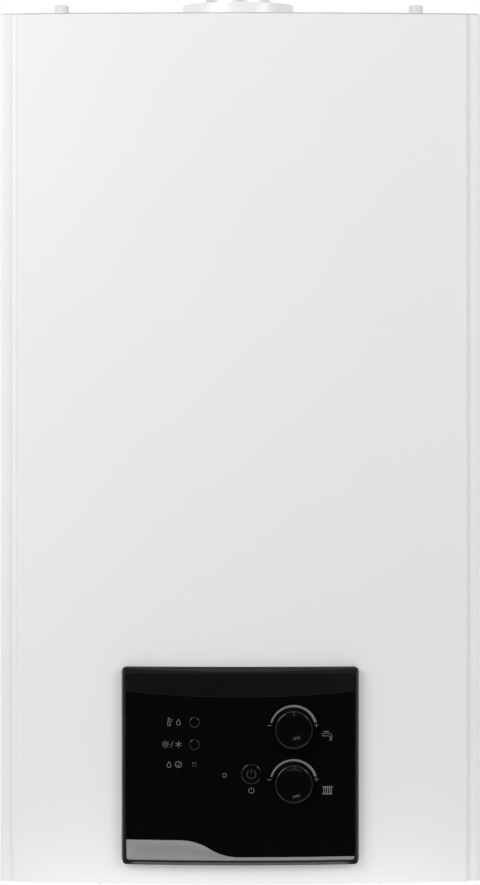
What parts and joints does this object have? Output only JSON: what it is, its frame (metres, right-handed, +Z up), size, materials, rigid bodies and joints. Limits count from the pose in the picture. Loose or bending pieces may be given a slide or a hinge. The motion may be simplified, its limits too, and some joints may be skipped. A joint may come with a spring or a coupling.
{
  "type": "wall-hung gas boiler",
  "caption": "Wall-hung gas boiler with a bowed white casing, a black control panel with turning knobs and push buttons, a flue collar on top and pipe tails below.",
  "frame": {"origin": "middle of the wall bracket's two fixing slots, on the wall plane", "axes": "+Z up, +Y into the wall, +X to the viewer's right when facing the front"},
  "size_m": [0.41, 0.3294, 0.798],
  "materials": {
    "white_enamel": "smooth white enamel",
    "zinc_sheet": "galvanised sheet",
    "alu_sheet": "aluminised sheet",
    "white_plastic": "moulded plastic",
    "cast_alu": "cast aluminium",
    "grey_plastic": "satin dark grey",
    "black_plastic": "satin black",
    "gloss_black": "polished black",
    "silver_plastic": "silver lacquer",
    "lens": "clear lens",
    "brass": "turned brass",
    "copper": "copper",
    "cast_iron": "painted casting",
    "red_enamel": "red enamel",
    "red_plastic": "red plastic",
    "blue_plastic": "blue plastic",
    "board": "circuit board",
    "fibre": "ceramic fibre",
    "seal": "foam rubber",
    "steel": "stainless steel"
  },
  "bodies": {
    "boiler": {"wall_bracket": "zinc_sheet", "back_frame": "zinc_sheet", "wall_spacers": "seal", "top_panel": "white_enamel", "bottom_rail": "zinc_sheet", "front_casing": "white_enamel", "top_pegs": "white_plastic", "flue_collar": "cast_alu", "flue_spigot": "alu_sheet", "chamber_box": "alu_sheet", "chamber_gasket": "seal", "chamber_cover": "alu_sheet", "sight_glass": "lens", "fan_housing": "zinc_sheet", "fan_motor": "grey_plastic", "flue_hood": "alu_sheet", "heat_exchanger": "copper", "combustion_shell": "alu_sheet", "insulation_panels": "fibre", "burner": "steel", "gas_manifold": "zinc_sheet", "expansion_vessel": "red_enamel", "vessel_pipe": "copper", "pump_body": "cast_iron", "pump_motor": "grey_plastic", "air_vent": "brass", "plate_exchanger": "steel", "flow_group": "brass", "return_group": "brass", "diverter_motor": "black_plastic", "safety_valve": "brass", "gas_valve": "cast_alu", "gas_valve_coils": "black_plastic", "flow_pipe": "copper", "return_pipe": "copper", "gas_pipe": "copper", "heating_tails": "brass", "water_tails": "brass", "gas_tail": "brass", "control_housing": "black_plastic", "control_bezel": "grey_plastic", "control_fascia": "gloss_black", "panel_header": "black_plastic", "silver_trim": "silver_plastic", "pressure_lens": "lens", "flame_lens": "lens", "circuit_board": "board", "knob_potentiometers": "grey_plastic"},
    "hot_water_knob": {"hot_water_knob": "black_plastic"},
    "heating_knob": {"heating_knob": "black_plastic"},
    "eco_button": {"eco_button": "gloss_black"},
    "season_button": {"season_button": "gloss_black"},
    "reset_button": {"reset_button": "gloss_black"},
    "fan_wheel": {"fan_impeller": "zinc_sheet"},
    "safety_valve_cap": {"safety_valve_cap": "red_plastic"},
    "filling_knob": {"filling_knob": "blue_plastic"}
  },
  "joints": [
    {"name": "hot_water_knob_turn", "type": "hinge", "parent": "boiler", "child": "hot_water_knob", "pos_m": [0.0451, -0.3214, -0.5563], "axis": [0, 1, 0], "range_deg": [-75, 75]},
    {"name": "heating_knob_turn", "type": "hinge", "parent": "boiler", "child": "heating_knob", "pos_m": [0.0451, -0.3214, -0.6021], "axis": [0, 1, 0], "range_deg": [-75, 75]},
    {"name": "eco_button_push", "type": "slide", "parent": "boiler", "child": "eco_button", "axis": [0, 1, 0], "range_m": [0, 0.0012], "stiffness_N_per_m": 300},
    {"name": "season_button_push", "type": "slide", "parent": "boiler", "child": "season_button", "axis": [0, 1, 0], "range_m": [0, 0.0012], "stiffness_N_per_m": 300},
    {"name": "reset_button_push", "type": "slide", "parent": "boiler", "child": "reset_button", "axis": [0, 1, 0], "range_m": [0, 0.0016], "stiffness_N_per_m": 300},
    {"name": "fan_wheel_spin", "type": "hinge", "parent": "boiler", "child": "fan_wheel", "pos_m": [-0.036, -0.15, -0.06], "axis": [0, -1, 0], "continuous": true},
    {"name": "safety_valve_cap_turn", "type": "hinge", "parent": "boiler", "child": "safety_valve_cap", "pos_m": [-0.105, -0.1484, -0.58], "axis": [0, -1, 0], "range_deg": [0, 90]},
    {"name": "filling_knob_turn", "type": "hinge", "parent": "boiler", "child": "filling_knob", "pos_m": [0.105, -0.095, -0.65], "axis": [0, 0, -1], "range_deg": [0, 180]}
  ]
}
